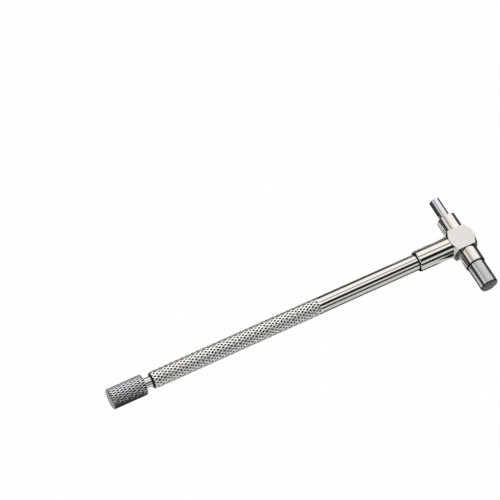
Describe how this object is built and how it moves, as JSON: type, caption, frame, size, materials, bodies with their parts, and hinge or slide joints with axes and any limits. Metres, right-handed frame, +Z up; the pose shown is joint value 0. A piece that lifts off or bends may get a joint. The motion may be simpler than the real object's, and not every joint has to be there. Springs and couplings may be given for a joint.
{
  "type": "telescoping gauge",
  "caption": "T-shaped bore gauge: two spring-loaded telescoping plungers in a cross barrel on a knurled tube handle, locked by a knurled end knob.",
  "frame": {"origin": "on the underside of the head's square block, straight below the point where the barrel and handle axes cross", "axes": "+X along the handle from the knob to the head, +Y along the barrel to the thin plunger's end, +Z up out of the plane that the gauge lies in"},
  "size_m": [0.1156, 0.0322, 0.0068],
  "materials": {
    "bright_nickel": "bright nickel plate",
    "knob_steel": "satin, diamond knurled",
    "ground_steel": "fine ground",
    "rod_steel": "drawn",
    "spring_steel": "drawn wire"
  },
  "bodies": {
    "head": {"head_body": "bright_nickel", "handle_tube": "bright_nickel"},
    "thick_plunger": {"thick_plunger": "ground_steel", "plunger_spring": "spring_steel"},
    "thin_plunger": {"thin_plunger": "ground_steel"},
    "push_rod": {"push_rod": "rod_steel"},
    "lock_knob": {"knob": "knob_steel", "lock_screw": "bright_nickel"}
  },
  "joints": [
    {"name": "thick_slide", "type": "slide", "parent": "head", "child": "thick_plunger", "axis": [0, -1, 0], "range_m": [-0.00685, 0], "stiffness_N_per_m": 150, "springref_m": 0.004, "deforming": ["plunger_spring"]},
    {"name": "thin_slide", "type": "slide", "parent": "head", "child": "thin_plunger", "axis": [0, 1, 0], "range_m": [-0.0063, 0], "stiffness_N_per_m": 150, "springref_m": 0.004, "deforming": ["plunger_spring"]},
    {"name": "lock_advance", "type": "slide", "parent": "head", "child": "push_rod", "axis": [1, 0, 0], "range_m": [-0.000125, 0.00025]},
    {"name": "knob_turn", "type": "hinge", "parent": "push_rod", "child": "lock_knob", "pos_m": [-0.10175, 0, 0.0034], "axis": [1, 0, 0], "range_deg": [-90, 180]}
  ],
  "couplings": [
    {"joint": "knob_turn", "follows": "lock_advance", "rad_per_m": 12566}
  ]
}
